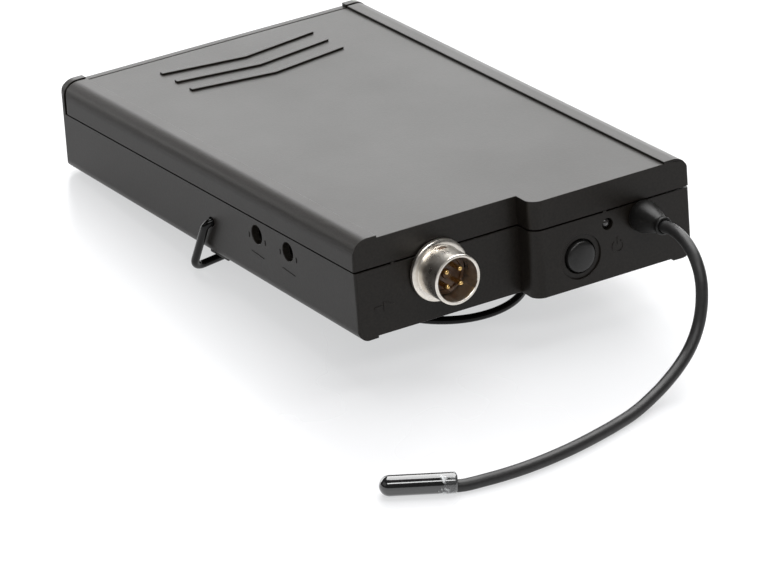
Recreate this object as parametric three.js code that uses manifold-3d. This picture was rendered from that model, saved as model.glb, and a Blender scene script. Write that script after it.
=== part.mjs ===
// Wireless guitar transmitter: a body-worn pack with a 4-pin locking instrument socket, a rubber
// whip antenna and a wire belt clip. Millimetres, +Z up. It lies as it does on a table, cover up:
// its two feet and the clip stand on z = 0, and the origin is under the middle of its box.
// The case group has its own axes: x across, y from the socket end to the far end, z off the back.
import * as THREE from 'three';
import { mergeVertices } from 'three/addons/utils/BufferGeometryUtils.js';
import Module from 'manifold-3d';

const wasm = await Module();
wasm.setup();

// ---- driving dimensions ------------------------------------------------------------------------
const caseWidth = 66;           // over the cover
const caseLength = 102.4;       // socket face to the outside of the far wall
const caseHeight = 18.8;        // back to rail crest, at the socket end
const nearStep = 4.8;           // how far the power half stands in front of the socket half
const stepX = 0.3;              // where across the width that step is
const partingHeight = 13;       // where cover and rear shell meet
const backTaper = 1.8;          // how much the back rises over the case length
const wall = 1.5;
const backWall = 1.2;
const farWall = 1.5;
const coverPlate = 1;
const sideLip = 0.1;            // the cover is this much wider each side than the rear shell
const railWidth = 5;
const flatRecess = 0.4;         // the flat lies this far below the rail crests
const rimProud = 0.15;          // far corner rims over the rail crests
const topRadius = 3;
const bottomRadius = 2.2;
const nearCornerRadius = 0.5;
const farCornerRadius = 0.9;
const stepRadius = 2.2;
const skidWidth = 4;            // the back stands on a low skid along each side
const skidHeight = 0.4;
const footRadius = 4;
const footHeight = 1;           // two feet on the back near the far end
const footX = 20;
const footInset = 8;            // far face to the middle of a foot

const socketX = -16.5;
const socketZ = 9.5;
const flangeRadius = 5.65;
const flangeThickness = 1;
const barrelRadius = 4.55;
const barrelWall = 0.6;
const barrelReach = 5.5;        // flange face to barrel mouth
const bushingRadius = 3.3;
const bushingReach = 7;         // behind the flange
const pinCircle = 1.9;
const pinRadius = 0.45;
const pinCount = 4;

const buttonX = 9.9;
const buttonZ = 5.95;
const buttonRadius = 2.85;
const buttonTravel = 0.5;
const buttonRingRadius = 4.1;
const buttonRingDepth = 0.35;

const ledX = 15.7;
const ledZ = 10.5;
const ledRadius = 0.95;

const antennaX = 22.8;
const antennaZ = 10.3;
const bootRadius = 2.9;
const collarRadius = 1.6;
const bootLength = 6.8;
const whipDiameter = 2.2;
const tipDiameter = 3.6;
const tipLength = 13.2;

const trimmerY = [22.5, 33];    // gain, level
const trimmerZ = 10.05;
const trimHoleRadius = 1.75;

const clipY = 49;               // clip pivot, on both sides
const clipZ = 7.6;
const wireDiameter = 1.5;
const clipDrop = 11;            // pivot down to the middle of the wire lying on the table
const clipSetback = 5;          // pivot to elbow, towards the far end
const clipLean = 3.5;           // the run under the case leans this much further back
const loopReach = 39;           // pivot to the middle of the loop's round end
const loopRadius = 14.5;
const pinDepth = 4;             // how far in from the case's side the wire ends
const elbowRadius = 2;

const cellDiameter = 14.2;
const cellLength = 50.5;
const cellPitch = 15.4;
const cellStartY = 39.6;
const cellBottomZ = 2.85;
const contactThickness = 0.4;
const springRoom = 2.4;         // contact plate to cell, where a spring fits
const cradleWall = 1;
const springRadius = 3.6;       // first turn; the last is smaller
const springEndRadius = 2.2;
const springWire = 0.5;
const leadRadius = 0.55;

const boardThickness = 1;
const boardTopZ = 3.8;
const bossRadius = 2.4;
const pilotRadius = 0.8;

const ridgeCount = 3;
const ridgeStart = 79.8;        // point of the first ridge, from the socket face
const ridgePitch = 5.35;
const ridgeHalf = 16.2;
const ridgeRise = 2.7;
const ridgeWidth = 1.1;
const ridgeHeight = 0.35;

// ---- named clearances --------------------------------------------------------------------------
const seatGap = 0.3;            // between pieces that seat on each other
const fitGap = 0.15;            // round piece in a round hole, all round
const partingGap = 0.35;
const rimGap = 0.35;            // cover to the far wall and its corner rims
const slideGap = 0.3;           // button in its hole, all round
const bite = 0.5;               // how far a boss, foot or ridge runs into what it stands on
const past = 1;                 // how far a cutting tool runs past what it cuts

// ---- worked out from them ----------------------------------------------------------------------
const halfWidth = caseWidth / 2;
const shellHalf = halfWidth - sideLip;
const innerHalf = shellHalf - wall;
const flatHalf = halfWidth - railWidth;
const powerFaceY = -nearStep;
const shellTop = partingHeight - partingGap / 2;
const coverBottom = partingHeight + partingGap / 2;
const flatZ = caseHeight - flatRecess;
const coverFarY = caseLength - farWall - rimGap;
const backSlope = backTaper / caseLength;
const wireRadius = wireDiameter / 2;
const legX = halfWidth + seatGap + wireRadius;
const footY = caseLength - footInset;
const footFarY = footY + footRadius;
const clipHeight = clipDrop + wireRadius;
const cellRadius = cellDiameter / 2;
const cellZ = cellBottomZ + cellRadius;
const cellEndY = cellStartY + cellLength;
const contactNearY = cellStartY - springRoom;
const contactFarY = cellEndY + springRoom;
const cradleNearY = contactNearY - contactThickness - seatGap - cradleWall;
const cradleFarY = contactFarY + contactThickness + seatGap + cradleWall;
const boardFarY = cradleNearY - seatGap;

// The table touches the far edges of the feet and the clip, and that sets how far the case tips.
const footDrop = clipZ - (backSlope * footFarY - footHeight);
const footRun = footFarY - clipY;
const tilt = Math.asin(clipHeight / Math.hypot(footDrop, footRun)) - Math.atan2(footDrop, footRun);

// ---- finishes ----------------------------------------------------------------------------------
const finish = (color, roughness, metalness = 0) => ({ color, roughness, metalness });
const casePlastic = finish(0x2c2b29, 0.55);
const rubber = finish(0x171716, 0.7);
const glossBlack = finish(0x0b0b0c, 0.25);
const nickel = finish(0xc9c5bd, 0.25, 1);
const steel = finish(0xb6b8ba, 0.35, 1);
const gold = finish(0xd0a24c, 0.3, 1);
const brass = finish(0xb8923f, 0.35, 1);
const brownPlastic = finish(0x3a2416, 0.5);
const laminate = finish(0x1f5a36, 0.5);
const lensClear = finish(0x8c8f90, 0.1);
const chipBlack = finish(0x161617, 0.5);
const canSilver = finish(0xa9adb0, 0.35, 1);
const cellJacket = finish(0x3b4550, 0.4);
const redWire = finish(0xa3231c, 0.5);
const blackWire = finish(0x141414, 0.5);
const whitePlastic = finish(0xd8d5cb, 0.5);

// ---- solid work --------------------------------------------------------------------------------
function toSolid(geometry) {
  const bare = geometry.clone();
  bare.deleteAttribute('normal');
  bare.deleteAttribute('uv');
  const merged = mergeVertices(bare, 1e-5);
  return new wasm.Manifold(new wasm.Mesh({
    numProp: 3,
    vertProperties: new Float32Array(merged.attributes.position.array),
    triVerts: new Uint32Array(merged.index.array),
  }));
}

function toGeometry(solid) {
  const mesh = solid.getMesh();
  const geometry = new THREE.BufferGeometry();
  geometry.setAttribute('position', new THREE.BufferAttribute(new Float32Array(mesh.vertProperties), 3));
  geometry.setIndex(new THREE.BufferAttribute(new Uint32Array(mesh.triVerts), 1));
  geometry.computeVertexNormals();
  return geometry;
}

const join = (...parts) => parts.map(toSolid).reduce((a, b) => a.add(b));
const cut = (body, ...tools) => tools.map(toSolid).reduce((a, b) => a.subtract(b), body);
const overlap = (...parts) => parts.map(toSolid).reduce((a, b) => a.intersect(b));

function box(x0, x1, y0, y1, z0, z1) {
  const geometry = new THREE.BoxGeometry(x1 - x0, y1 - y0, z1 - z0);
  return geometry.translate((x0 + x1) / 2, (y0 + y1) / 2, (z0 + z1) / 2);
}

// Round bar along x, y or z, from its low end.
function bar(radius, length, axis, x, y, z, sides = 24) {
  const geometry = new THREE.CylinderGeometry(radius, radius, length, sides).translate(0, length / 2, 0);
  if (axis === 'x') geometry.rotateZ(-Math.PI / 2);
  if (axis === 'z') geometry.rotateX(Math.PI / 2);
  return geometry.translate(x, y, z);
}

// Turned piece: profile of [radius, distance] pairs, its axis along y at (x, z).
function turned(profile, x, z, sides = 32) {
  const points = profile.map(([radius, y]) => new THREE.Vector2(radius, y));
  if (THREE.ShapeUtils.isClockWise(points)) points.reverse();
  return new THREE.LatheGeometry(points, sides).translate(x, 0, z);
}

function extrudeUp(shape, z0, z1, curveSegments = 6) {
  const options = { depth: z1 - z0, bevelEnabled: false, curveSegments };
  return new THREE.ExtrudeGeometry(shape, options).translate(0, 0, z0);
}

// A shape drawn in x and z, extruded along y.
function extrudeAlong(shape, y0, y1, curveSegments = 6) {
  const options = { depth: y1 - y0, bevelEnabled: false, curveSegments };
  return new THREE.ExtrudeGeometry(shape, options).rotateX(Math.PI / 2).translate(0, y1, 0);
}

// Raises a solid as the back rises towards the far end.
function followBack(geometry) {
  const shear = new THREE.Matrix4().set(1, 0, 0, 0, 0, 1, 0, 0, 0, backSlope, 1, 0, 0, 0, 0, 1);
  return geometry.applyMatrix4(shear);
}

// A path through stations that are set one by one, for bent wire and flexible leads.
class StationPath extends THREE.Curve {
  constructor(stations) {
    super();
    this.stations = stations;
  }

  getSpacedPoints() {
    return this.stations;
  }

  getTangentAt(u) {
    const last = this.stations.length - 1;
    const i = Math.round(u * last);
    const before = this.stations[Math.max(i - 1, 0)];
    const after = this.stations[Math.min(i + 1, last)];
    return new THREE.Vector3().subVectors(after, before).normalize();
  }
}

function tube(stations, radius, sides = 8) {
  const ring = new THREE.Shape();
  for (let i = 0; i < sides; i += 1) {
    const angle = (2 * Math.PI * i) / sides;
    const place = [radius * Math.cos(angle), radius * Math.sin(angle)];
    if (i === 0) ring.moveTo(...place);
    else ring.lineTo(...place);
  }
  const path = new StationPath(stations);
  return new THREE.ExtrudeGeometry(ring, { steps: stations.length - 1, extrudePath: path });
}

const at = (x, y, z) => new THREE.Vector3(x, y, z);

// Rounds each inner corner of a run of straight lengths with an arc of its own radius.
function bent(corners, radii, arcSteps = 5) {
  const stations = [corners[0]];
  for (let i = 1; i < corners.length - 1; i += 1) {
    const corner = corners[i];
    const back = corners[i - 1].clone().sub(corner).normalize();
    const onward = corners[i + 1].clone().sub(corner).normalize();
    const half = back.angleTo(onward) / 2;
    const reach = radii[i - 1] / Math.tan(half);
    const inward = back.clone().add(onward).normalize();
    const centre = inward.multiplyScalar(radii[i - 1] / Math.sin(half)).add(corner);
    const from = back.multiplyScalar(reach).add(corner).sub(centre);
    const to = onward.multiplyScalar(reach).add(corner).sub(centre);
    const sweep = from.angleTo(to);
    for (let k = 0; k <= arcSteps; k += 1) {
      const a = Math.sin(sweep * (1 - k / arcSteps)) / Math.sin(sweep);
      const b = Math.sin((sweep * k) / arcSteps) / Math.sin(sweep);
      stations.push(from.clone().multiplyScalar(a).addScaledVector(to, b).add(centre));
    }
  }
  stations.push(corners[corners.length - 1]);
  return stations;
}

// ---- the case ----------------------------------------------------------------------------------
const leastRadius = 0.2;        // inner corners are never sharper than this

// Plan outline, inset all round: the socket half is set back, the power half stands forward.
function planOutline(half, inset, farY) {
  const left = -half + inset;
  const right = half - inset;
  const nearLeft = inset;
  const nearRight = powerFaceY + inset;
  const stepWall = stepX + inset;
  const nearR = Math.max(nearCornerRadius - inset, leastRadius);
  const farR = Math.max(farCornerRadius - inset, leastRadius);
  const stepR = Math.max(stepRadius - inset, leastRadius);
  const shape = new THREE.Shape();
  shape.moveTo(left + nearR, nearLeft);
  shape.lineTo(stepWall, nearLeft);
  shape.lineTo(stepWall, nearRight + stepR);
  shape.absarc(stepWall + stepR, nearRight + stepR, stepR, Math.PI, 1.5 * Math.PI);
  shape.lineTo(right - nearR, nearRight);
  shape.absarc(right - nearR, nearRight + nearR, nearR, -Math.PI / 2, 0);
  shape.lineTo(right, farY - farR);
  shape.absarc(right - farR, farY - farR, farR, 0, Math.PI / 2);
  shape.lineTo(left + farR, farY);
  shape.absarc(left + farR, farY - farR, farR, Math.PI / 2, Math.PI);
  shape.lineTo(left, nearLeft + nearR);
  shape.absarc(left + nearR, nearLeft + nearR, nearR, Math.PI, 1.5 * Math.PI);
  return shape;
}

// Cross-section with its two low corners rounded.
function trough(half, bottom, radius, top) {
  const shape = new THREE.Shape();
  shape.moveTo(-half + radius, bottom);
  shape.lineTo(half - radius, bottom);
  shape.absarc(half - radius, bottom + radius, radius, -Math.PI / 2, 0);
  shape.lineTo(half, top);
  shape.lineTo(-half, top);
  shape.lineTo(-half, bottom + radius);
  shape.absarc(-half + radius, bottom + radius, radius, Math.PI, 1.5 * Math.PI);
  return shape;
}

// Cross-section with its two high corners rounded.
function arch(half, bottom, radius, top) {
  const shape = new THREE.Shape();
  shape.moveTo(-half, bottom);
  shape.lineTo(half, bottom);
  shape.lineTo(half, top - radius);
  shape.absarc(half - radius, top - radius, radius, 0, Math.PI / 2);
  shape.lineTo(-half + radius, top);
  shape.absarc(-half + radius, top - radius, radius, Math.PI / 2, Math.PI);
  return shape;
}

const pastNear = powerFaceY - past;
const pastFar = caseLength + past;

function trayVolume(inset, thickness, farY) {
  const plan = extrudeUp(planOutline(shellHalf, inset, farY), -past, shellTop + inset);
  const radius = Math.max(bottomRadius - inset, leastRadius);
  const section = trough(shellHalf - inset, thickness, radius, caseHeight);
  return overlap(plan, followBack(extrudeAlong(section, pastNear, pastFar)));
}

const boardBosses = [[-27, 5], [27, 2], [0, boardFarY - 3.6]];
const rimSkirt = 6;             // the far end is solid from this far below the parting line
const pivotBossHalf = 3;
const through = wall + sideLip + 2 * past;
const bushingHole = bushingRadius + fitGap;
const bushingTool = () => bar(bushingHole, through, 'y', socketX, -past, socketZ, 32);
function rearShell() {
  const rimTop = caseHeight + rimProud;
  const farEnd = overlap(
    box(-shellHalf, shellHalf, caseLength - farWall, caseLength, partingHeight - rimSkirt, rimTop),
    extrudeAlong(arch(shellHalf, 0, topRadius, rimTop), pastNear, pastFar),
    extrudeUp(planOutline(shellHalf, 0, caseLength), 0, rimTop + past),
  );
  const hollow = trayVolume(wall, backWall, caseLength - farWall);
  const recessHalf = shellHalf - skidWidth;
  const backRecess = box(-recessHalf, recessHalf, pastNear, pastFar, -past, skidHeight);
  let shell = cut(trayVolume(0, 0, caseLength).subtract(hollow).add(farEnd), followBack(backRecess));
  const additions = [];
  for (const side of [-1, 1]) {
    const bossIn = side * (innerHalf - pinDepth + wall - bite);
    const bossOut = side * (innerHalf + bite);
    additions.push(box(Math.min(bossIn, bossOut), Math.max(bossIn, bossOut),
      clipY - pivotBossHalf, clipY + pivotBossHalf, backWall - bite, clipZ + pivotBossHalf));
    const foot = bar(footRadius, footHeight + skidHeight + bite, 'z', side * footX, footY, -footHeight);
    additions.push(followBack(foot));
  }
  for (const [x, y] of boardBosses) {
    const bossTop = boardTopZ - boardThickness - seatGap;
    additions.push(bar(bossRadius, bossTop - backWall + bite, 'z', x, y, backWall - bite));
  }
  for (const part of additions) shell = shell.add(toSolid(part));
  const faceHole = (radius, x, z) => bar(radius, through, 'y', x, powerFaceY - past, z, 32);
  const tools = [
    box(-flatHalf, flatHalf, caseLength - farWall - past, caseLength + past, flatZ, rimTop + past),
    bushingTool(),
    box(socketX - bushingHole, socketX + bushingHole, -past, wall + past, socketZ, shellTop + past),
    bar(buttonRingRadius, past + buttonRingDepth, 'y', buttonX, powerFaceY - past, buttonZ, 32),
    faceHole(buttonRadius + slideGap, buttonX, buttonZ),
    faceHole(ledRadius + fitGap, ledX, ledZ),
    faceHole(ferruleRadius + fitGap, antennaX, antennaZ),
  ];
  for (const y of trimmerY) {
    tools.push(bar(trimHoleRadius, through, 'x', -shellHalf - past, y, trimmerZ));
  }
  tools.push(bar(wireRadius + fitGap, caseWidth, 'x', -halfWidth, clipY, clipZ, 16));
  for (const [x, y] of boardBosses) tools.push(bar(pilotRadius, boardTopZ, 'z', x, y, backWall, 12));
  return toGeometry(cut(shell, ...tools));
}

// Shallow chevron standing on the flat, its point towards the socket end.
function gripRidge(pointY) {
  const shape = new THREE.Shape();
  shape.moveTo(0, pointY);
  shape.lineTo(ridgeHalf, pointY + ridgeRise);
  shape.lineTo(ridgeHalf, pointY + ridgeRise + ridgeWidth);
  shape.lineTo(0, pointY + ridgeWidth);
  shape.lineTo(-ridgeHalf, pointY + ridgeRise + ridgeWidth);
  shape.lineTo(-ridgeHalf, pointY + ridgeRise);
  return extrudeUp(shape, flatZ - bite, flatZ + ridgeHeight);
}

function frontCover() {
  const outer = overlap(
    extrudeUp(planOutline(halfWidth, 0, coverFarY), coverBottom, caseHeight + past),
    extrudeAlong(arch(halfWidth, 0, topRadius, caseHeight), pastNear, pastFar),
  );
  const side = wall + sideLip;
  const hollowPlan = planOutline(halfWidth, side, coverFarY + 2 * side);
  const inner = overlap(
    extrudeUp(hollowPlan, coverBottom - past, flatZ - coverPlate),
    extrudeAlong(arch(halfWidth - side, 0, topRadius - wall, caseHeight), pastNear, pastFar),
  );
  let cover = outer.subtract(inner);
  const flat = box(-flatHalf, flatHalf, pastNear, pastFar, flatZ, caseHeight + past);
  cover = cut(cover, flat, bushingTool());
  for (let i = 0; i < ridgeCount; i += 1) {
    cover = cover.add(toSolid(gripRidge(ridgeStart + i * ridgePitch)));
  }
  return toGeometry(cover);
}

// ---- instrument socket -------------------------------------------------------------------------
const flangeBackY = -seatGap;
const flangeFaceY = flangeBackY - flangeThickness;
const mouthY = flangeFaceY - barrelReach;
const boreRadius = barrelRadius - barrelWall;
const socketFloorY = mouthY + 4.6;
const insertRadius = bushingRadius - 0.6;
const insertFaceY = socketFloorY - 0.6;
const shoulderY = socketFloorY + 0.1;
const keyHalf = 0.6;
const keyAngles = [-40, 95, 200];
const slotHalf = 1.1;           // locking slot on top of the barrel
const slotLength = 0.8;
const slotFromFlange = 0.7;

function connectorShell() {
  const bevel = 0.35;
  const lip = 0.2;
  const profile = [
    [barrelRadius - lip, mouthY], [barrelRadius, mouthY + lip], [barrelRadius, flangeFaceY],
    [flangeRadius - bevel, flangeFaceY], [flangeRadius, flangeFaceY + bevel], [flangeRadius, flangeBackY],
    [bushingRadius, flangeBackY], [bushingRadius, bushingReach], [insertRadius + fitGap, bushingReach],
    [insertRadius + fitGap, shoulderY + seatGap], [boreRadius, shoulderY + seatGap],
    [boreRadius, mouthY], [barrelRadius - lip, mouthY],
  ];
  const body = toSolid(turned(profile, socketX, socketZ, 40));
  const keyDepth = barrelWall * 0.55;
  const tools = keyAngles.map((degrees) => {
    const key = box(-keyHalf, keyHalf, mouthY - past, insertFaceY,
      boreRadius - past, boreRadius + keyDepth);
    return key.rotateY(THREE.MathUtils.degToRad(degrees)).translate(socketX, 0, socketZ);
  });
  const slotEndY = flangeFaceY - slotFromFlange;
  tools.push(box(socketX - slotHalf, socketX + slotHalf, slotEndY - slotLength, slotEndY,
    socketZ + boreRadius - past, socketZ + barrelRadius + past));
  return toGeometry(cut(body, ...tools));
}

const insertBackY = bushingReach - 0.5;
const pinPlaces = Array.from({ length: pinCount }, (_, i) => {
  const angle = ((i + 0.5) * 2 * Math.PI) / pinCount;
  return [socketX + pinCircle * Math.cos(angle), socketZ + pinCircle * Math.sin(angle)];
});

function connectorInsert() {
  const face = boreRadius - fitGap;
  const profile = [
    [0, insertFaceY], [face, insertFaceY], [face, shoulderY],
    [insertRadius, shoulderY], [insertRadius, insertBackY], [0, insertBackY],
  ];
  const body = toSolid(turned(profile, socketX, socketZ));
  const length = insertBackY - insertFaceY + 2 * past;
  const holes = pinPlaces.map(([x, z]) => (
    bar(pinRadius + fitGap, length, 'y', x, insertFaceY - past, z, 12)));
  return toGeometry(cut(body, ...holes));
}

function connectorPin([x, z]) {
  const tipY = mouthY + 1;
  const tailY = bushingReach + 1.5;
  const profile = [
    [0, tipY], [pinRadius * 0.6, tipY + 0.1], [pinRadius, tipY + 0.5], [pinRadius, tailY], [0, tailY],
  ];
  return turned(profile, x, z, 12);
}

const nutRadius = bushingRadius + 1.3;
const nutThickness = 1.6;
const nutNearY = wall + sideLip + seatGap;
const nutBackY = nutNearY + nutThickness;

function connectorNut() {
  const hex = bar(nutRadius, nutThickness, 'y', socketX, nutNearY, socketZ, 6);
  const bore = bar(bushingRadius + fitGap, 4, 'y', socketX, 0, socketZ, 32);
  return toGeometry(cut(toSolid(hex), bore));
}

// ---- power button, switch and light ------------------------------------------------------------
const capFlangeY = powerFaceY + wall + seatGap;
const capBackY = capFlangeY + 0.8;
const capFlangeRadius = buttonRadius + 1;
const plungerY = capBackY + seatGap;
const plungerLength = 2;
const plungerTail = plungerY + plungerLength;
const switchY = plungerY + 0.9;
const switchDepth = 3.4;
const switchHalfWidth = 2.6;
const switchHalf = 2.2;
const plungerRadius = 1.5;

function powerButton() {
  const domeSteps = 5;
  const domeRise = 0.5;
  const domeY = powerFaceY - 0.2;
  const profile = [[capFlangeRadius, capBackY], [capFlangeRadius, capFlangeY],
    [buttonRadius, capFlangeY], [buttonRadius, domeY]];
  for (let i = 1; i <= domeSteps; i += 1) {
    const angle = (i / domeSteps) * (Math.PI / 2);
    profile.push([buttonRadius * Math.cos(angle), domeY - domeRise * Math.sin(angle)]);
  }
  profile[profile.length - 1][0] = 0;
  return turned([[0, capBackY], ...profile], buttonX, buttonZ);
}

function tactSwitch() {
  const body = box(buttonX - switchHalfWidth, buttonX + switchHalfWidth, switchY, switchY + switchDepth,
    boardTopZ + seatGap, buttonZ + switchHalf);
  const wellEnd = plungerTail + buttonTravel + fitGap;
  const well = bar(plungerRadius + fitGap, wellEnd - switchY + past, 'y', buttonX, switchY - past, buttonZ);
  return toGeometry(cut(toSolid(body), well));
}

function statusLed() {
  const lensY = powerFaceY + 0.35;
  const collarY = powerFaceY + wall + seatGap;
  const collar = ledRadius + 0.35;
  const collarEndY = collarY + 1.2;
  const profile = [[0, lensY], [ledRadius * 0.55, lensY + 0.12], [ledRadius * 0.9, lensY + 0.45],
    [ledRadius, lensY + 0.9], [ledRadius, collarY], [collar, collarY], [collar, collarEndY],
    [0, collarEndY]];
  const lens = turned(profile, ledX, ledZ, 20);
  const legHalf = 0.2;
  const legEndY = collarEndY + 1.2;
  const legs = [-0.45, 0.45].map((dx) => ledX + dx).flatMap((x) => [
    box(x - legHalf, x + legHalf, collarEndY - bite, legEndY, ledZ - legHalf, ledZ + legHalf),
    box(x - legHalf, x + legHalf, legEndY - 2 * legHalf, legEndY, boardTopZ + seatGap, ledZ + legHalf),
  ]);
  return toGeometry(join(lens, ...legs));
}

// ---- antenna -----------------------------------------------------------------------------------
const bootBackY = powerFaceY - seatGap;
const bootTipY = bootBackY - bootLength;
const ferruleRadius = 1.4;

function antennaBoot() {
  const collarY = bootTipY + 1.1;
  const neck = collarRadius - 0.1;
  const edge = 0.15;
  const profile = [
    [0, bootBackY], [bootRadius, bootBackY], [bootRadius, bootBackY - 0.6],
    [bootRadius - 0.25, bootBackY - 1.3], [neck, collarY + 0.5], [neck, collarY],
    [collarRadius, collarY - edge], [collarRadius, bootTipY + edge],
    [collarRadius - edge, bootTipY], [0, bootTipY],
  ];
  return turned(profile, antennaX, antennaZ, 28);
}

function antennaBase() {
  const frontY = powerFaceY + 0.1;
  const headY = powerFaceY + wall + seatGap;
  const headEndY = headY + 1.4;
  const headRadius = ferruleRadius + 0.9;
  const profile = [[0, frontY], [ferruleRadius, frontY], [ferruleRadius, headY],
    [headRadius, headY], [headRadius, headEndY], [0, headEndY]];
  const post = turned(profile, antennaX, antennaZ, 20);
  const tabHalf = 0.9;
  const tabThickness = 0.4;
  const tab = box(antennaX - tabHalf, antennaX + tabHalf, headEndY - tabThickness, headEndY,
    boardTopZ + seatGap, antennaZ);
  return toGeometry(join(post, tab));
}

// Chosen by hand: out of the boot, over in one droop, then along the table. A station is how far
// it is across and along from the boot's tip, and its share of the tip's height off the table.
const whipRoute = [
  [0, -0.35, 1.002], [-0.35, -3.28, 1.038], [-0.7, -6.3, 1.04], [-1.05, -9.23, 1.005],
  [-1.38, -11.79, 0.923], [-1.77, -13.68, 0.803], [-2.36, -14.91, 0.663], [-3.24, -15.8, 0.52],
  [-4.62, -16.65, 0.388], [-6.58, -17.62, 0.279], [-8.95, -18.65, 0.197],
  [-13.19, -20.37, 0.105], [-17.65, -22.08, 0.045], [-22.22, -23.73, 0.008], [-26.88, -25.27, 0],
  [-31.6, -26.64, 0], [-36.37, -27.79, 0], [-41.2, -28.69, 0], [-46.08, -29.26, 0],
  [-50.99, -29.45, 0], [-55.9, -29.21, 0], [-60.74, -28.48, 0],
];
const whipSteps = 40;
const tipEndFromBoot = [-72.4, -22.4];

function whipStations(bootTip) {
  const lying = whipDiameter / 2;
  return whipRoute.map(([across, along, share]) => (
    at(bootTip.x + across, bootTip.y + along, lying + share * (bootTip.z - lying))));
}

function antennaWhip(stations) {
  const curve = new THREE.CatmullRomCurve3(stations, false, 'centripetal');
  return tube(curve.getSpacedPoints(whipSteps), whipDiameter / 2);
}

// Moulded end cap lying on the table, closed and round at its free end.
function antennaTip(bootTip, whipEnd) {
  const radius = tipDiameter / 2;
  const steps = 5;
  const edge = 0.3;
  const profile = [[0, 0], [radius - edge, 0], [radius, edge], [radius, tipLength - radius]];
  for (let i = 1; i <= steps; i += 1) {
    const angle = (i / steps) * (Math.PI / 2);
    profile.push([radius * Math.cos(angle), tipLength - radius + radius * Math.sin(angle)]);
  }
  profile[profile.length - 1][0] = 0;
  const cap = turned(profile, 0, 0, 20);
  const tipEnd = at(bootTip.x + tipEndFromBoot[0], bootTip.y + tipEndFromBoot[1], radius);
  const along = tipEnd.sub(at(whipEnd.x, whipEnd.y, radius)).normalize();
  const start = at(whipEnd.x, whipEnd.y, radius).addScaledVector(along, seatGap);
  cap.applyQuaternion(new THREE.Quaternion().setFromUnitVectors(at(0, 1, 0), along));
  return cap.translate(start.x, start.y, start.z);
}

// ---- wire belt clip ----------------------------------------------------------------------------
// Drawn about its pivot, level with the table: pins, legs down to the elbows, then one flat loop.
function wireClip() {
  const half = [
    at(innerHalf - pinDepth + wall, 0, 0), at(legX, 0, 0), at(legX, clipSetback, -clipDrop),
    at(loopRadius, clipSetback + clipLean, -clipDrop),
  ];
  const endSteps = 16;
  const loopSide = at(loopRadius, -clipSetback, -clipDrop);
  const right = bent([...half, loopSide], [wireDiameter, elbowRadius, elbowRadius * 2], 6);
  const centreY = -loopReach + loopRadius;
  const round = Array.from({ length: endSteps + 1 }, (_, i) => {
    const angle = (-Math.PI * i) / endSteps;
    return at(loopRadius * Math.cos(angle), centreY + loopRadius * Math.sin(angle), -clipDrop);
  });
  const left = right.map((p) => at(-p.x, p.y, p.z)).reverse();
  return tube([...right, ...round, ...left], wireRadius, 12);
}

// ---- board and what is on it -------------------------------------------------------------------
const boardMargin = 0.5;        // board edge to the case wall
const screwHoleRadius = 1.25;
const standZ = boardTopZ + seatGap;
const standing = (x0, x1, y0, y1, height) => box(x0, x1, y0, y1, standZ, standZ + height);

function mainBoard() {
  const plan = planOutline(shellHalf, wall + boardMargin, boardFarY);
  const boardBackZ = boardTopZ - boardThickness;
  const tools = boardBosses.map(([x, y]) => (
    bar(screwHoleRadius, boardThickness + 2 * past, 'z', x, y, boardBackZ - past, 16)));
  const notch = (x, half, endY) => (
    box(x - half, x + half, pastNear, endY, boardBackZ - past, boardTopZ + past));
  tools.push(notch(buttonX, capFlangeRadius + 2 * seatGap, capBackY + buttonTravel + seatGap));
  tools.push(notch(socketX, nutRadius + seatGap, nutBackY + seatGap));
  return toGeometry(cut(toSolid(extrudeUp(plan, boardBackZ, boardTopZ, 3)), ...tools));
}

function boardScrew([x, y]) {
  const shank = pilotRadius - fitGap;
  const headRadius = 1.8;
  const headHeight = 1.3;
  const edge = 0.4;
  const shankLength = standZ - backWall - seatGap;
  const profile = [[0, -shankLength], [shank, -shankLength], [shank, 0], [headRadius, 0],
    [headRadius, headHeight - edge], [headRadius - edge, headHeight], [0, headHeight]];
  const screw = turned(profile, 0, 0, 16).rotateX(Math.PI / 2).translate(x, y, standZ);
  const slotLong = 1.2;
  const slotWide = 0.2;
  const slots = [[slotLong, slotWide], [slotWide, slotLong]].map(([u, v]) => (
    box(x - u, x + u, y - v, y + v, standZ + headHeight / 2, standZ + headHeight + past)));
  return toGeometry(cut(toSolid(screw), ...slots));
}

function shieldCan(x0, x1, y0, y1, height) {
  const sheet = 0.4;
  const inside = box(x0 + sheet, x1 - sheet, y0 + sheet, y1 - sheet,
    standZ - past, standZ + height - sheet);
  return toGeometry(cut(toSolid(standing(x0, x1, y0, y1, height)), inside));
}

function tuningCoil(x, y) {
  const half = 2.5;
  const height = 6;
  const slugRadius = 1.4;
  const slugDepth = 1.5;
  const can = toSolid(standing(x - half, x + half, y - half, y + half, height));
  const slug = bar(slugRadius, slugDepth + past, 'z', x, y, standZ + height - slugDepth, 16);
  return toGeometry(cut(can, slug));
}

function capacitor(x, y, radius, height) {
  const groove = radius - 0.2;
  const edge = 0.3;
  const profile = [[0, 0], [radius, 0], [radius, 0.7], [groove, 0.9], [groove, 1.1], [radius, 1.3],
    [radius, height - edge], [radius - edge, height], [0, height]];
  return turned(profile, 0, 0, 20).rotateX(Math.PI / 2).translate(x, y, standZ);
}

const rotorRadius = 1.5;
const rotorX = -innerHalf + seatGap;
const rotorThickness = 1.2;
const trimmerDepth = 4;
const trimmerHalf = 2.4;

function trimmerBody(y) {
  const x0 = rotorX + rotorThickness + seatGap;
  const height = trimmerZ + trimmerHalf - standZ;
  return standing(x0, x0 + trimmerDepth, y - trimmerHalf, y + trimmerHalf, height);
}

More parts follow.
